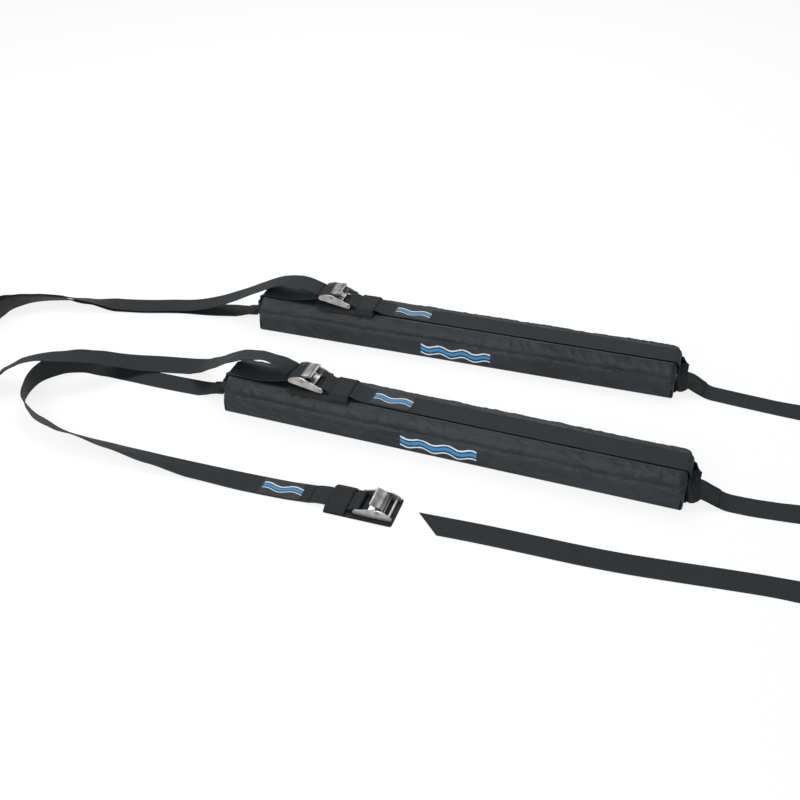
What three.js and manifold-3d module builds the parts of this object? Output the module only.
// Soft roof rack: a pair of strap-on padded bars, laid out on the ground.
// Each bar is a foam core in a sewn cover. A board strap is cinched lengthwise
// round it with a cam buckle, and a two-part car strap is sewn round the ends of that strap.
// Millimetres, +Z up. The origin is on the ground, midway between the two bars.
import * as THREE from 'three';
import * as BufferGeometryUtils from 'three/addons/utils/BufferGeometryUtils.js';
import Module from 'manifold-3d';

const wasm = await Module();
wasm.setup();

// Driving dimensions of a bar
const BAR_LENGTH = 700;
const BAR_WIDTH = 78;
const BAR_HEIGHT = 57;
const SHOULDER_DROP = 4;
const SHOULDER_RADIUS = 13;
const FOOT_RADIUS = 6;
const END_RADIUS = 15;
const COVER_WALL = 1.5;
const SEAM_HEIGHT = 24;
const SEAM_DEPTH = 1.1;
const CLOSURE_LENGTH = 460;
const CLOSURE_WIDTH = 1;

// Driving dimensions of the webbing
const WEB_WIDTH = 38;
const WEB = 1.6;
const GAP = 0.3;
const GROUND_GAP = 0.3;

// Driving dimensions of a cam buckle, u from its anchor tip to its mouth
const CHEEK_LENGTH = 56;
const CHEEK_RISE = 14;
const CHEEK_TIP_RADIUS = 4;
const SHEET = 2;
const FRAME_INSIDE = 42;
const BASE_START = 18;
const WINDOW_LENGTH = 10;
const GRIP_START = 37;
const GRIP_LENGTH = 5;
const GRIP_THICKNESS = 3;
const NOSE_RADIUS = 2;
const BAR_RADIUS = 2.2;
const PIN_RADIUS = 2;
const PIN_HEAD_RADIUS = 3.3;
const PIN_HEAD = 0.9;
const PIVOT_U = 35;
const PIVOT_Z = 10.5;
const PIVOT_PLAY = 0.3;
const BARREL_RADIUS = 4.2;
const LEVER_WIDTH = 36;
const PLATE_REACH = 12;
const PLATE_RISE = 8.2;
const LIP_RADIUS = 1.6;
const RIB_COUNT = 2;
const RIB_PITCH = 1.7;
const RIB_RISE = 0.6;
const SPRING_WIRE = 0.55;
const SPRING_TURNS = 3;
const SPRING_SLOT = 10;
const SPRING_LEG = 10;
const PLATE_LEG_ANGLE = 166;
const BASE_LEG_ANGLE = -65;
const THREADED_TURN = 0;
const EMPTY_TURN = THREE.MathUtils.degToRad(-6);

// Driving dimensions of the pad under a buckle
const PAD_LENGTH = 100;
const PAD_WIDTH = 60;
const PAD_THICKNESS = 3;
const TUNNEL_LENGTH = 31;
const TUNNEL_WALL = 1.4;

// Driving dimensions of a sewn eye at a bar's end
const EYE_REACH = 22;
const EYE_FLOOR = 4;

// Places on the ground
const BAR_SPACING = 248;
const BAR_STAGGER = 46;
const BAR_YAW = THREE.MathUtils.degToRad(1.2);
const BOARD_BUCKLE_X = -0.27 * BAR_LENGTH;
const BOARD_BUCKLE_TILT = THREE.MathUtils.degToRad(10);

// Values that follow from the sizes above
const HALF_LENGTH = BAR_LENGTH / 2;
const HALF_WIDTH = BAR_WIDTH / 2;
const WEB_OFFSET = GAP + WEB / 2;
const CHANNEL_DEPTH = WEB + 2 * GAP;
const CHANNEL_WIDTH = WEB_WIDTH + 4;
const WRAP_RADIUS = BAR_RADIUS + WEB_OFFSET;
const LAYER_STEP = WEB + GAP;
const BAR_ABOVE_PAD = WRAP_RADIUS + WEB / 2 + 2 * GAP;
const LOWER_LAYER = PAD_THICKNESS + WEB_OFFSET;
const UPPER_LAYER = LOWER_LAYER + LAYER_STEP;
const TUNNEL_HEIGHT = 2 * WEB + 3 * GAP;
const END_RUN_X = HALF_LENGTH + GAP + WEB + WEB_OFFSET;
const EYE_TOP = EYE_FLOOR + WEB_WIDTH + GAP;

const finishes = {
  cover: new THREE.MeshStandardMaterial({ color: 0x24272e, roughness: 0.62, metalness: 0 }),
  foam: new THREE.MeshStandardMaterial({ color: 0x8d8f92, roughness: 0.95, metalness: 0 }),
  webbing: new THREE.MeshStandardMaterial({ color: 0x1b1f20, roughness: 0.8, metalness: 0 }),
  pad: new THREE.MeshStandardMaterial({ color: 0x1a1d1e, roughness: 0.85, metalness: 0 }),
  nickel: new THREE.MeshStandardMaterial({ color: 0xb4b3b1, roughness: 0.34, metalness: 1 }),
  steel: new THREE.MeshStandardMaterial({ color: 0x8f9092, roughness: 0.3, metalness: 1 }),
};

// Solid and mesh helpers
function toSolid(geometry) {
  const bare = geometry.index ? geometry.clone() : geometry;
  bare.deleteAttribute('normal');
  bare.deleteAttribute('uv');
  const merged = BufferGeometryUtils.mergeVertices(bare, 1e-4);
  return new wasm.Manifold(new wasm.Mesh({
    numProp: 3,
    vertProperties: new Float32Array(merged.attributes.position.array),
    triVerts: new Uint32Array(merged.index.array),
  }));
}

function toGeometry(solid) {
  const mesh = solid.getMesh();
  const geometry = new THREE.BufferGeometry();
  geometry.setAttribute('position', new THREE.BufferAttribute(mesh.vertProperties, 3));
  geometry.setIndex(new THREE.BufferAttribute(mesh.triVerts, 1));
  geometry.computeVertexNormals();
  return geometry;
}

function named(name, geometry, finish) {
  const mesh = new THREE.Mesh(geometry, finishes[finish]);
  mesh.name = name;
  return mesh;
}

function extrude(shape, depth, curveSegments = 6) {
  return new THREE.ExtrudeGeometry(shape, { depth, bevelEnabled: false, curveSegments });
}

// An outline in X and Z, extruded along Y and centred on it
function acrossY(shape, width, curveSegments) {
  return extrude(shape, width, curveSegments).rotateX(Math.PI / 2).translate(0, width / 2, 0);
}

// An outline in Y and Z, extruded along X and centred on it
function alongX(shape, length, curveSegments) {
  const geometry = extrude(shape, length, curveSegments);
  return geometry.rotateX(Math.PI / 2).rotateZ(Math.PI / 2).translate(-length / 2, 0, 0);
}

function rodAlongY(radius, length, segments = 16) {
  return new THREE.CylinderGeometry(radius, radius, length, segments);
}

// A flat band through a row of stations, each with its centre, its width and its face direction
function band(stations, width, thickness) {
  const positions = [];
  for (const { centre, across, face } of stations) {
    for (const [side, height] of [[-1, -1], [1, -1], [1, 1], [-1, 1]]) {
      const corner = centre.clone();
      corner.addScaledVector(across, (side * width) / 2);
      corner.addScaledVector(face, (height * thickness) / 2);
      positions.push(corner.x, corner.y, corner.z);
    }
  }
  const index = [0, 2, 1, 0, 3, 2];
  for (let i = 0; i + 1 < stations.length; i += 1) {
    for (let side = 0; side < 4; side += 1) {
      const a = i * 4 + side;
      const b = i * 4 + ((side + 1) % 4);
      index.push(a, b, b + 4, a, b + 4, a + 4);
    }
  }
  const last = (stations.length - 1) * 4;
  index.push(last, last + 1, last + 2, last, last + 2, last + 3);
  const geometry = new THREE.BufferGeometry();
  geometry.setAttribute('position', new THREE.Float32BufferAttribute(positions, 3));
  geometry.setIndex(signedVolume(positions, index) < 0 ? flipped(index) : index);
  return geometry;
}

function signedVolume(positions, index) {
  let total = 0;
  for (let i = 0; i < index.length; i += 3) {
    const [a, b, c] = [0, 1, 2].map((k) => new THREE.Vector3().fromArray(positions, index[i + k] * 3));
    total += a.dot(b.cross(c)) / 6;
  }
  return total;
}

function flipped(index) {
  const turned = index.slice();
  for (let i = 0; i < turned.length; i += 3) {
    [turned[i + 1], turned[i + 2]] = [turned[i + 2], turned[i + 1]];
  }
  return turned;
}

// A band whose centre line is a path in the XZ plane and whose width lies along Y
function bandInPlane(path, curveSegments) {
  const points = path.getPoints(curveSegments);
  const stations = points.map((point, i) => {
    const before = points[Math.max(i - 1, 0)];
    const after = points[Math.min(i + 1, points.length - 1)];
    const toward = point.clone().sub(before).normalize().add(after.clone().sub(point).normalize()).normalize();
    return {
      centre: new THREE.Vector3(point.x, 0, point.y),
      across: new THREE.Vector3(0, 1, 0),
      face: new THREE.Vector3(-toward.y, 0, toward.x),
    };
  });
  return band(stations, WEB_WIDTH, WEB);
}

// A free strap through hand-placed points of x, y, z and bank, where bank 0 is flat and 90 on edge
function freeStrap(points, steps, thickness = WEB) {
  const curve = new THREE.CatmullRomCurve3(points.map(([x, y, z]) => new THREE.Vector3(x, y, z)));
  const stations = [];
  for (let i = 0; i <= steps; i += 1) {
    const t = i / steps;
    const at = t * (points.length - 1);
    const low = Math.min(Math.floor(at), points.length - 2);
    const ease = THREE.MathUtils.smoothstep(at - low, 0, 1);
    const bank = THREE.MathUtils.degToRad(THREE.MathUtils.lerp(points[low][3], points[low + 1][3], ease));
    const heading = curve.getTangent(t);
    const level = new THREE.Vector3(-heading.y, heading.x, 0).normalize();
    const rise = new THREE.Vector3().crossVectors(heading, level);
    const across = level.clone().multiplyScalar(Math.cos(bank)).addScaledVector(rise, Math.sin(bank));
    const face = new THREE.Vector3().crossVectors(across, heading);
    const centre = curve.getPoint(t);
    const reach = (Math.abs(across.z) * WEB_WIDTH + Math.abs(face.z) * thickness) / 2;
    centre.z = Math.max(centre.z, GROUND_GAP + reach);
    stations.push({ centre, across, face });
  }
  return band(stations, WEB_WIDTH, thickness);
}

// Bar sections and profiles, drawn once for the cover and again smaller for the foam
function barSection(inset, seam) {
  const w = HALF_WIDTH - inset;
  const top = BAR_HEIGHT - inset;
  const shoulder = top - SHOULDER_DROP;
  const flat = CHANNEL_WIDTH / 2 + 1 - inset / 2;
  const channel = CHANNEL_WIDTH / 2 + inset;
  const r = SHOULDER_RADIUS - inset;
  const foot = FOOT_RADIUS;
  const shape = new THREE.Shape();
  shape.moveTo(-w + foot, inset);
  shape.lineTo(-channel, inset);
  shape.lineTo(-channel, inset + CHANNEL_DEPTH);
  shape.lineTo(channel, inset + CHANNEL_DEPTH);
  shape.lineTo(channel, inset);
  shape.lineTo(w - foot, inset);
  shape.quadraticCurveTo(w, inset, w, inset + foot);
  if (seam) addSeam(shape, w, 1);
  shape.lineTo(w, shoulder - r);
  shape.quadraticCurveTo(w, shoulder, w - r, shoulder + SHOULDER_DROP * 0.4);
  shape.lineTo(flat, top);
  shape.lineTo(-flat, top);
  shape.lineTo(-w + r, shoulder + SHOULDER_DROP * 0.4);
  shape.quadraticCurveTo(-w, shoulder, -w, shoulder - r);
  if (seam) addSeam(shape, w, -1);
  shape.lineTo(-w, inset + foot);
  shape.quadraticCurveTo(-w, inset, -w + foot, inset);
  return shape;
}

function addSeam(shape, w, side) {
  const heights = [SEAM_HEIGHT - 2 * SEAM_DEPTH, SEAM_HEIGHT, SEAM_HEIGHT + 2 * SEAM_DEPTH];
  const insets = [0, SEAM_DEPTH, 0];
  const order = side > 0 ? [0, 1, 2] : [2, 1, 0];
  for (const i of order) shape.lineTo(side * (w - insets[i]), heights[i]);
}

function roundedOutline(halfX, low, high, radiusLow, radiusHigh) {
  const shape = new THREE.Shape();
  shape.moveTo(-halfX + radiusLow, low);
  shape.lineTo(halfX - radiusLow, low);
  shape.quadraticCurveTo(halfX, low, halfX, low + radiusLow);
  shape.lineTo(halfX, high - radiusHigh);
  shape.quadraticCurveTo(halfX, high, halfX - radiusHigh, high);
  shape.lineTo(-halfX + radiusHigh, high);
  shape.quadraticCurveTo(-halfX, high, -halfX, high - radiusHigh);
  shape.lineTo(-halfX, low + radiusLow);
  shape.quadraticCurveTo(-halfX, low, -halfX + radiusLow, low);
  return shape;
}

function barSolid(inset, seam, curveSegments) {
  const halfX = HALF_LENGTH - inset;
  const section = toSolid(alongX(barSection(inset, seam), BAR_LENGTH, curveSegments));
  const sideView = roundedOutline(halfX, inset, BAR_HEIGHT - inset, FOOT_RADIUS, END_RADIUS);
  const side = toSolid(acrossY(sideView, BAR_WIDTH, curveSegments));
  const w = HALF_WIDTH - inset;
  const planView = roundedOutline(halfX, -w, w, END_RADIUS, END_RADIUS);
  const plan = toSolid(extrude(planView, BAR_HEIGHT, curveSegments));
  return section.intersect(side).intersect(plan);
}

function cover(name) {
  const outside = barSolid(0, true, 4);
  const inside = barSolid(COVER_WALL, false, 3);
  const closureY = (HALF_WIDTH - FOOT_RADIUS + CHANNEL_WIDTH / 2) / 2;
  const slit = new THREE.BoxGeometry(CLOSURE_LENGTH, CLOSURE_WIDTH, 4 * COVER_WALL);
  const closure = toSolid(slit.translate(0, closureY, COVER_WALL));
  return named(name, toGeometry(outside.subtract(inside).subtract(closure)), 'cover');
}

function foamCore(name) {
  return named(name, toGeometry(barSolid(COVER_WALL + GAP, false, 3)), 'foam');
}

// Cam buckle, drawn in u along the strap, v across it and z up, with its base's underside at z 0
function cheekOutline() {
  const r = CHEEK_TIP_RADIUS;
  const end = CHEEK_LENGTH - r;
  const shape = new THREE.Shape();
  shape.moveTo(r, 0);
  shape.lineTo(end, 0);
  shape.absarc(end, r, r, -Math.PI / 2, Math.PI / 3, false);
  shape.quadraticCurveTo(PIVOT_U + 8, CHEEK_RISE + 0.6, PIVOT_U, CHEEK_RISE);
  shape.quadraticCurveTo(PIVOT_U - 14, CHEEK_RISE - 1, r * 2, 2 * r + 0.4);
  shape.lineTo(r, 2 * r);
  shape.absarc(r, r, r, Math.PI / 2, Math.PI * 1.5, false);
  return shape;
}

function buckleFrame(name) {
  const outline = cheekOutline();
  const barHole = new THREE.Path().absarc(CHEEK_TIP_RADIUS, CHEEK_TIP_RADIUS, BAR_RADIUS + GAP / 2, 0, Math.PI * 2);
  const pinHole = new THREE.Path().absarc(PIVOT_U, PIVOT_Z, PIN_RADIUS + GAP / 2, 0, Math.PI * 2);
  outline.holes.push(barHole, pinHole);
  const cheekY = (FRAME_INSIDE + SHEET) / 2;
  const outside = FRAME_INSIDE + SHEET;
  const baseLength = GRIP_START - WINDOW_LENGTH - BASE_START;
  const base = new THREE.BoxGeometry(baseLength, outside, SHEET);
  base.translate(BASE_START + baseLength / 2, 0, SHEET / 2);
  const grip = roundedOutline(GRIP_LENGTH / 2, 0, GRIP_THICKNESS, 1, 1);
  const gripBar = acrossY(grip, outside, 2).translate(GRIP_START + GRIP_LENGTH / 2, 0, 0);
  const noseU = CHEEK_LENGTH - CHEEK_TIP_RADIUS - NOSE_RADIUS;
  const nose = rodAlongY(NOSE_RADIUS, outside, 12).translate(noseU, 0, NOSE_RADIUS);
  let solid = toSolid(base).add(toSolid(gripBar)).add(toSolid(nose));
  for (const side of [-1, 1]) {
    solid = solid.add(toSolid(acrossY(outline, SHEET, 5).translate(0, side * cheekY, 0)));
  }
  return named(name, toGeometry(solid), 'nickel');
}

function anchorBar(name) {
  const length = FRAME_INSIDE + 2 * SHEET + 1;
  const bar = rodAlongY(BAR_RADIUS, length, 14);
  return named(name, bar.translate(CHEEK_TIP_RADIUS, 0, CHEEK_TIP_RADIUS), 'steel');
}

function pivotPin(name) {
  const seat = FRAME_INSIDE / 2 + SHEET + GAP;
  const end = seat + PIN_HEAD;
  const profile = [
    [0, -end], [PIN_HEAD_RADIUS * 0.8, -end], [PIN_HEAD_RADIUS, -seat], [PIN_RADIUS, -seat],
    [PIN_RADIUS, seat], [PIN_HEAD_RADIUS, seat], [PIN_HEAD_RADIUS * 0.8, end], [0, end],
  ].map(([r, y]) => new THREE.Vector2(r, y));
  return named(name, new THREE.LatheGeometry(profile, 16).translate(PIVOT_U, 0, PIVOT_Z), 'steel');
}

// Lever outline about its pivot: thumb plate behind and above, rising teeth in front and below
function leverOutline() {
  const polar = (degrees, radius) => {
    const angle = THREE.MathUtils.degToRad(degrees);
    return [radius * Math.cos(angle), radius * Math.sin(angle)];
  };
  const lip = [-50, -110, -170, -230, -290].map((degrees) => {
    const [x, z] = polar(degrees, LIP_RADIUS);
    return [x - PLATE_REACH, z + PLATE_RISE];
  });
  const start = new THREE.Vector2(-PLATE_REACH + 2.2, PLATE_RISE + 0.7);
  const finish = new THREE.Vector2(0.5, PLATE_RISE - 1.9);
  const along = finish.clone().sub(start).normalize();
  const ribs = [];
  for (let i = 0; i < RIB_COUNT; i += 1) {
    for (const [part, rise] of [[0.1, 0], [0.35, RIB_RISE], [0.65, RIB_RISE], [0.9, 0]]) {
      const at = start.clone().addScaledVector(along, (i + part) * RIB_PITCH);
      ribs.push([at.x, at.y + rise]);
    }
  }
  const front = [[finish.x, finish.y], [2.4, 6.1], [4.4, 4.6], polar(-8, 6.3)];
  const teeth = [[-28, 7.6], [-38, 6], [-48, 7], [-58, 5.2], [-68, 5.6], [-82, 4.4]].map(([a, r]) => polar(a, r));
  const barrel = [-110, -140, -170, -200].map((degrees) => polar(degrees, BARREL_RADIUS));
  const arm = [[-3.6, 4.4], [-PLATE_REACH + 1.6, PLATE_RISE - 1.6]];
  const points = [...lip, ...ribs, ...front, ...teeth, ...barrel, ...arm];
  return new THREE.Shape(points.map(([x, z]) => new THREE.Vector2(x, z)));
}

function camLever(name, turn) {
  const outline = leverOutline();
  outline.holes.push(new THREE.Path().absarc(0, 0, PIN_RADIUS + PIVOT_PLAY, 0, Math.PI * 2));
  const body = toSolid(acrossY(outline, LEVER_WIDTH, 6));
  const slotRear = -BARREL_RADIUS - 2;
  const slotFront = PIN_RADIUS + 1.4;
  const slotTop = BARREL_RADIUS + 0.5;
  const slotBottom = -BARREL_RADIUS - 2;
  const slot = new THREE.BoxGeometry(slotFront - slotRear, SPRING_SLOT, slotTop - slotBottom);
  const notch = toSolid(slot.translate((slotFront + slotRear) / 2, 0, (slotTop + slotBottom) / 2));
  const lever = named(name, toGeometry(body.subtract(notch)), 'nickel');
  lever.position.set(PIVOT_U, 0, PIVOT_Z);
  lever.rotation.y = -turn;
  return lever;
}

// Torsion spring on the pivot pin, with one leg under the thumb plate and one on the base
function camSpring(name, turn) {
  const coilRadius = PIN_RADIUS + GAP + SPRING_WIRE;
  const half = SPRING_SLOT / 2 - 2 * SPRING_WIRE;
  const plateLeg = THREE.MathUtils.degToRad(PLATE_LEG_ANGLE) + turn;
  const first = plateLeg - Math.PI / 2;
  const last = THREE.MathUtils.degToRad(BASE_LEG_ANGLE) - 2 * Math.PI * SPRING_TURNS;
  const count = Math.ceil((first - last) / (Math.PI / 5));
  const coil = [];
  for (let i = 0; i <= count; i += 1) {
    const angle = THREE.MathUtils.lerp(first, last, i / count);
    const y = THREE.MathUtils.lerp(-half, half, i / count);
    coil.push(new THREE.Vector3(coilRadius * Math.cos(angle), y, coilRadius * Math.sin(angle)));
  }
  const reach = new THREE.Vector3(Math.cos(plateLeg), 0, Math.sin(plateLeg));
  const plateEnd = coil[0].clone().addScaledVector(reach, SPRING_LEG);
  const heading = new THREE.Vector3(Math.sin(last), 0, -Math.cos(last));
  const drop = coil[count].z + PIVOT_Z - SHEET - GAP - SPRING_WIRE;
  const baseEnd = coil[count].clone().addScaledVector(heading, -drop / heading.z);
  const middle = (a, b) => a.clone().lerp(b, 0.5);
  const points = [plateEnd, middle(plateEnd, coil[0]), ...coil, middle(coil[count], baseEnd), baseEnd];
  const route = new THREE.CatmullRomCurve3(points);
  const wire = new THREE.Shape().absarc(0, 0, SPRING_WIRE, 0, Math.PI * 2);
  const options = { extrudePath: route, steps: count + 10, bevelEnabled: false, curveSegments: 3 };
  const geometry = new THREE.ExtrudeGeometry(wire, options);
  return named(name, geometry.translate(PIVOT_U, 0, PIVOT_Z), 'steel');
}

function camBuckle(prefix, turn) {
  const buckle = new THREE.Group();
  buckle.add(buckleFrame(`${prefix}_frame`));
  buckle.add(anchorBar(`${prefix}_anchor_bar`));
  buckle.add(pivotPin(`${prefix}_pivot_pin`));
  buckle.add(camLever(`${prefix}_cam_lever`, turn));
  buckle.add(camSpring(`${prefix}_spring`, turn));
  return buckle;
}

// Pad under a buckle, from its anchor end at x 0, with the tunnel that holds it on the strap
function bucklePad(name) {
  const slab = extrude(roundedOutline(PAD_LENGTH / 2, -PAD_WIDTH / 2, PAD_WIDTH / 2, 5, 5), PAD_THICKNESS, 3);
  slab.translate(PAD_LENGTH / 2, 0, 0);
  const roof = PAD_THICKNESS + TUNNEL_HEIGHT + TUNNEL_WALL;
  const inner = WEB_WIDTH / 2 + 1;
  const outline = new THREE.Shape();
  outline.moveTo(-PAD_WIDTH / 2 + 0.5, 0);
  outline.lineTo(PAD_WIDTH / 2 - 0.5, 0);
  outline.lineTo(PAD_WIDTH / 2 - 0.5, PAD_THICKNESS + TUNNEL_WALL);
  outline.quadraticCurveTo(inner + 3, PAD_THICKNESS + TUNNEL_WALL, inner, roof);
  outline.lineTo(-inner, roof);
  outline.quadraticCurveTo(-inner - 3, PAD_THICKNESS + TUNNEL_WALL, -PAD_WIDTH / 2 + 0.5, PAD_THICKNESS + TUNNEL_WALL);
  const hole = new THREE.Path();
  hole.moveTo(-inner, PAD_THICKNESS);
  hole.lineTo(inner, PAD_THICKNESS);
  hole.lineTo(inner, PAD_THICKNESS + TUNNEL_HEIGHT);
  hole.lineTo(-inner, PAD_THICKNESS + TUNNEL_HEIGHT);
  outline.holes.push(hole);
  const tunnel = alongX(outline, TUNNEL_LENGTH, 3).translate(TUNNEL_LENGTH / 2 + 1, 0, 0);
  return named(name, toGeometry(toSolid(slab).add(toSolid(tunnel))), 'pad');
}

// A buckle standing on its pad, with u along +X and the anchor bar over the pad's second half
const BAR_FROM_PAD_END = TUNNEL_LENGTH + 15;
const BUCKLE_FLOOR = LOWER_LAYER - WEB / 2 + BAR_ABOVE_PAD - GAP;

function placeBuckle(prefix, turn, tilt) {
  const buckle = camBuckle(prefix, turn);
  const r = CHEEK_TIP_RADIUS;
  const lift = BUCKLE_FLOOR - r * Math.sin(tilt) - r * Math.cos(tilt);
  buckle.position.set(BAR_FROM_PAD_END - r * Math.cos(tilt) + r * Math.sin(tilt), 0, lift);
  buckle.rotation.y = -tilt;
  return buckle;
}

// Angle at which the strap leaves its wrap to reach a layer, mirrored for the layer below
const MEET_LENGTH = 14;

function leaveAngle(layer, side) {
  const tangent = Math.acos(WRAP_RADIUS / Math.hypot(MEET_LENGTH, layer));
  return -(Math.atan2(layer, MEET_LENGTH) + side * tangent);
}

// Board strap: sewn round the anchor bar, once round the whole bar, and up through the buckle
function boardStrap(name, padX, padZ) {
  const barX = padX - BAR_FROM_PAD_END;
  const barZ = padZ + BUCKLE_FLOOR;
  const cos = Math.cos(BOARD_BUCKLE_TILT);
  const sin = Math.sin(BOARD_BUCKLE_TILT);
  const r = CHEEK_TIP_RADIUS;
  const inBuckle = (u, z) => [barX - (u - r) * cos + (z - r) * sin, barZ + (u - r) * sin + (z - r) * cos];
  const lower = padZ + LOWER_LAYER;
  const upper = padZ + UPPER_LAYER;
  const top = BAR_HEIGHT + WEB_OFFSET;
  const bottom = WEB_OFFSET;
  const path = new THREE.Path();
  path.moveTo(barX + 40, lower);
  path.lineTo(barX + MEET_LENGTH, lower);
  path.absarc(barX, barZ, WRAP_RADIUS, -leaveAngle(lower - barZ, -1), -leaveAngle(upper - barZ, 1), true);
  path.lineTo(barX + MEET_LENGTH, upper);
  path.lineTo(padX + 1, upper);
  path.quadraticCurveTo(padX + 14, top, padX + 36, top);
  path.lineTo(HALF_LENGTH - END_RADIUS, top);
  path.quadraticCurveTo(END_RUN_X, top, END_RUN_X, EYE_TOP);
  path.lineTo(END_RUN_X, EYE_FLOOR);
  path.quadraticCurveTo(END_RUN_X, bottom, HALF_LENGTH, bottom);
  path.lineTo(-HALF_LENGTH, bottom);
  path.quadraticCurveTo(-END_RUN_X, bottom, -END_RUN_X, EYE_FLOOR);
  path.lineTo(-END_RUN_X, EYE_TOP);
  path.quadraticCurveTo(-END_RUN_X, top, -HALF_LENGTH + END_RADIUS, top);
  path.lineTo(barX - CHEEK_LENGTH - 58, top);
  path.quadraticCurveTo(barX - CHEEK_LENGTH - 34, top, ...inBuckle(CHEEK_LENGTH + 4, -WEB_OFFSET - 1));
  path.lineTo(...inBuckle(GRIP_START + GRIP_LENGTH, -WEB_OFFSET));
  const turnRadius = GRIP_THICKNESS / 2 + WEB_OFFSET;
  for (let i = 0; i <= 6; i += 1) {
    const angle = -Math.PI / 2 - (i / 6) * Math.PI;
    const u = GRIP_START + 1 + turnRadius * Math.cos(angle);
    path.lineTo(...inBuckle(u, GRIP_THICKNESS / 2 + turnRadius * Math.sin(angle)));
  }
  path.lineTo(...inBuckle(GRIP_START + GRIP_LENGTH, GRIP_THICKNESS + WEB_OFFSET));
  path.lineTo(...inBuckle(CHEEK_LENGTH - CHEEK_TIP_RADIUS - NOSE_RADIUS, 2 * NOSE_RADIUS + WEB_OFFSET + 0.1));
  path.lineTo(...inBuckle(CHEEK_LENGTH + 1, 2 * NOSE_RADIUS + WEB_OFFSET + 0.2));
  return named(name, bandInPlane(path, 5), 'webbing');
}

// Sewn eye of a car strap: an upright loop round the end run, and a doubled tab that turns flat
function sewnEye(name, side) {
  const back = HALF_LENGTH + GAP;
  const front = END_RUN_X + WEB_OFFSET;
  const tip = HALF_LENGTH + EYE_REACH;
  const y = WEB_WIDTH / 2 + 1;
  const outline = new THREE.Shape();
  outline.moveTo(back, -y);
  outline.quadraticCurveTo(back, -y - WEB - 1, front + 1, -y - WEB);
  outline.quadraticCurveTo(tip - 8, -WEB - 3, tip, -WEB);
  outline.lineTo(tip, WEB);
  outline.quadraticCurveTo(tip - 8, WEB + 3, front + 1, y + WEB);
  outline.quadraticCurveTo(back, y + WEB + 1, back, y);
  const hole = new THREE.Path();
  hole.moveTo(back + WEB, -y);
  hole.lineTo(back + WEB, y);
  hole.quadraticCurveTo(front, y + 0.6, front + 1, y - 0.6);
  hole.quadraticCurveTo(tip - 13, 3, tip - 9, 0);
  hole.quadraticCurveTo(tip - 13, -3, front + 1, -y + 0.6);
  hole.quadraticCurveTo(front, -y - 0.6, back + WEB, -y);
  outline.holes.push(hole);
  const loop = extrude(outline, WEB_WIDTH, 4).translate(0, 0, EYE_FLOOR);
  return named(name, side > 0 ? loop : loop.rotateZ(Math.PI), 'webbing');
}

// Sewn end of a car strap round its buckle's anchor bar, from the pad's anchor end
function sewnFold(name) {
  const path = new THREE.Path();
  const barX = BAR_FROM_PAD_END;
  const start = Math.PI + leaveAngle(LOWER_LAYER - BUCKLE_FLOOR, -1);
  const end = Math.PI + leaveAngle(UPPER_LAYER - BUCKLE_FLOOR, 1);
  path.moveTo(barX - 40, LOWER_LAYER);
  path.lineTo(barX - MEET_LENGTH, LOWER_LAYER);
  path.absarc(barX, BUCKLE_FLOOR, WRAP_RADIUS, start, end, false);
  path.lineTo(barX - MEET_LENGTH, UPPER_LAYER);
  path.lineTo(-2, UPPER_LAYER);
  path.quadraticCurveTo(-14, UPPER_LAYER, -24, UPPER_LAYER - 3);
  return named(name, bandInPlane(path, 5), 'webbing');
}

// Shape of a stored length of strap: a round coil on edge, or a folded run on edge
const STORED_HEIGHT = WEB_WIDTH + 1;

function storedCoil(name, x, y, outer, inner) {
  const profile = [[inner, 0], [outer, 0], [outer, STORED_HEIGHT], [inner, STORED_HEIGHT], [inner, 0]];
  const ring = new THREE.LatheGeometry(profile.map(([r, z]) => new THREE.Vector2(r, z)), 28);
  return named(name, ring.rotateX(Math.PI / 2).translate(x, y, 0), 'webbing');
}

function storedFold(name, x, y, length, width) {
  const outline = roundedOutline(length / 2, -width / 2, width / 2, 24, 24);
  return named(name, extrude(outline, STORED_HEIGHT, 4).translate(x, y, 0), 'webbing');
}

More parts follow.
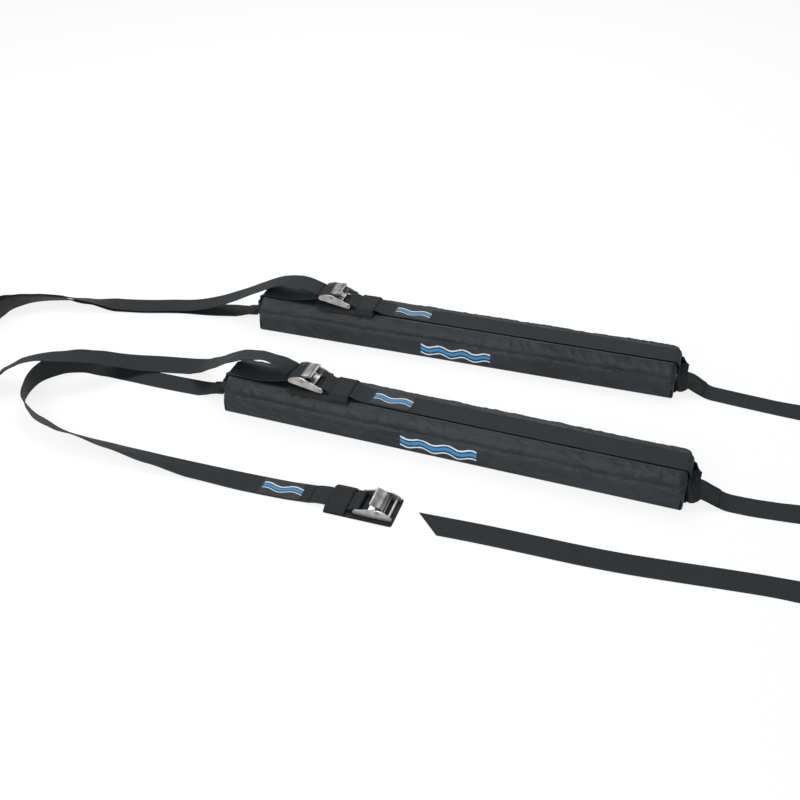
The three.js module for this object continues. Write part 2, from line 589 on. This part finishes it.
// Routes of the free straps on the ground: x, y, z and bank at each point
const routes = {
  front_board_strap_tail: [
    [-222.9, -119, 76, 0], [-238, -118.5, 81, 0], [-262, -117, 84, 0], [-292, -113, 80, 0],
    [-325, -105, 67, 0], [-358, -93, 47, 0], [-388, -80, 26, 0], [-415, -68, 11, 0], [-440, -64, 4, 0],
    [-480, -77, 4, 0], [-515, -96, 14, 2], [-545, -121, 31, 8], [-575, -145, 45, 18], [-606, -164, 50, 22],
    [-638, -177, 52, 26], [-668, -184, 44, 36], [-691, -193, 29, 54], [-703, -212, 20.5, 80],
    [-705.4, -235, 19.8, 90],
  ],
  back_board_strap_tail: [
    [-268.9, 119, 76, 0], [-285, 119, 81, 0], [-308, 120.5, 84, 0], [-345, 122, 77, 0], [-385, 121, 58, 0],
    [-425, 119, 37, 0], [-465, 113, 20, 0], [-507, 105, 9, 0], [-550, 97, 5, 0], [-592, 86, 4.6, 0],
    [-640, 82, 6.4, 4], [-690, 86, 14, 30], [-740, 83, 18, 48], [-786, 70, 20, 74], [-818, 42, 20, 90],
    [-831, 0, 19.8, 90], [-835.5, -49, 19.8, 90],
  ],
  front_car_strap_short: [
    [-349.5, -116.2, 23, 90], [-353.9, -116.1, 23, 88], [-359.9, -115, 20.5, 62], [-366.9, -113.6, 13, 35],
    [-374.9, -112.5, 5.5, 14], [-381.9, -111.5, 1.9, 3], [-388.9, -111.4, 1.1, 0], [-420, -112, 1.1, 0], [-466, -112, 1.1, 0],
    [-515, -111, 1.6, 4], [-556, -113, 8, 30], [-590, -121, 17, 68], [-622, -144, 19.8, 88],
    [-640, -182, 19.8, 96], [-634, -226, 18, 118], [-606, -262, 13.5, 138], [-556, -285, 11, 146],
    [-500, -293, 9, 152], [-440, -297, 6, 162], [-372, -300, 2.5, 176], [-300, -301, 1.1, 180],
    [-220, -300, 1.1, 180], [-160, -298, 1.1, 180], [-136, -296.2, 1.6, 180], [-122.9, -296, 2.7, 180],
  ],
  back_car_strap_short: [
    [-395.5, 116.2, 23, 90], [-399.9, 116.1, 23, 88], [-405.9, 117.7, 20.5, 62], [-412.9, 119.7, 13, 35],
    [-420.9, 121.3, 5.5, 14], [-427.9, 122.5, 1.9, 3], [-434.9, 122.4, 1.1, 0], [-475, 112, 1.1, 0], [-530, 102, 1.1, 0],
    [-592, 85, 1.1, 0], [-640, 78, 1.8, 2], [-690, 79, 8, 28], [-740, 73, 14, 50], [-780, 54, 19, 76],
    [-803, 26, 20, 90], [-811, -6, 20, 90], [-813, -50, 20, 90], [-818, -94, 20, 90],
    [-837, -130, 20, 90], [-866, -149, 20, 90], [-892, -170, 20, 92], [-909, -203, 18, 102],
    [-927, -229, 13, 126], [-946, -241, 6, 154], [-962, -243, 1.8, 178], [-975.3, -243, 2.7, 180],
  ],
  front_car_strap_long: [
    [395.5, -131.8, 23, 90], [399.9, -131.9, 23, 88], [405.9, -131.8, 20.5, 62], [412.9, -131.6, 13, 35],
    [420.9, -131.5, 5.5, 14], [427.9, -131.5, 1.9, 3], [434.9, -131.6, 1.1, 0], [464, -131.5, 1.1, 0], [498, -129, 1.1, 0],
    [533, -126, 1.4, 2], [566, -125.4, 10, 46], [600, -125, 19, 84], [629, -125, 19.8, 90],
  ],
  front_car_strap_end: [
    [629, -278, 19.8, 90], [600, -278, 19, 96], [566, -278, 10, 136], [533, -278.5, 2, 178],
    [500, -279, 1.1, 180], [440, -284, 1.1, 180], [380, -290, 1.1, 180], [313, -296, 1.1, 180],
    [254, -298.5, 1.1, 180], [194, -299, 1.1, 180], [120, -300, 1.1, 180], [47, -303, 1.1, 180],
  ],
  back_car_strap_long: [
    [349.5, 131.8, 23, 90], [353.9, 131.9, 23, 88], [359.9, 130.8, 20.5, 62], [366.9, 129.4, 13, 35],
    [374.9, 128.3, 5.5, 14], [381.9, 127.5, 1.9, 3], [388.9, 127.2, 1.1, 0], [430, 123.5, 1.1, 0], [480, 119.5, 1.1, 0],
    [533, 116, 1.6, 3], [575, 112, 12, 50], [615, 108.5, 19, 82], [650, 106.4, 19.8, 90],
    [689.5, 105.8, 19.8, 90],
  ],
};

function freeStraps() {
  const group = new THREE.Group();
  for (const [name, points] of Object.entries(routes)) {
    const steps = Math.min(80, 4 * points.length);
    group.add(named(name, freeStrap(points, steps), 'webbing'));
  }
  return group;
}

// One bar with its board strap and buckle
function bar(prefix) {
  const group = new THREE.Group();
  group.add(cover(`${prefix}_cover`));
  group.add(foamCore(`${prefix}_foam_core`));
  const padZ = BAR_HEIGHT + 2 * GAP;
  const padX = BOARD_BUCKLE_X + BAR_FROM_PAD_END - CHEEK_TIP_RADIUS;
  group.add(boardStrap(`${prefix}_board_strap`, padX, padZ));
  const stack = new THREE.Group();
  stack.position.set(padX, 0, padZ);
  stack.rotation.z = Math.PI;
  stack.add(bucklePad(`${prefix}_board_buckle_pad`));
  stack.add(placeBuckle(`${prefix}_board_buckle`, THREADED_TURN, BOARD_BUCKLE_TILT));
  group.add(stack);
  group.add(sewnEye(`${prefix}_car_strap_short_eye`, -1));
  group.add(sewnEye(`${prefix}_car_strap_long_eye`, 1));
  return group;
}

// The free buckle end of a car strap, with its pad's anchor end at x, y
function carBuckle(prefix, x, y, turned) {
  const group = new THREE.Group();
  group.position.set(x, y, 0);
  group.rotation.z = turned;
  group.add(sewnFold(`${prefix}_car_strap_fold`));
  group.add(bucklePad(`${prefix}_car_buckle_pad`));
  group.add(placeBuckle(`${prefix}_car_buckle`, EMPTY_TURN, 0));
  return group;
}

const rack = new THREE.Group();
const frontBar = bar('front');
frontBar.position.set(BAR_STAGGER / 2, -BAR_SPACING / 2, 0);
frontBar.rotation.z = -BAR_YAW;
const backBar = bar('back');
backBar.position.set(-BAR_STAGGER / 2, BAR_SPACING / 2, 0);
backBar.rotation.z = BAR_YAW;
rack.add(frontBar, backBar);
rack.add(carBuckle('front', -98, -296, 0));
rack.add(carBuckle('back', -1000, -243, Math.PI));
rack.add(freeStraps());
rack.add(storedCoil('front_board_strap_coil', -797, -236, 90, 36));
rack.add(storedCoil('back_board_strap_coil', -927, -50, 90, 36));
rack.add(storedCoil('back_car_strap_coil', 690, 217.2, 110, 28));
rack.add(storedFold('front_car_strap_coil', 768, -201.5, 276, 200));

export default rack;
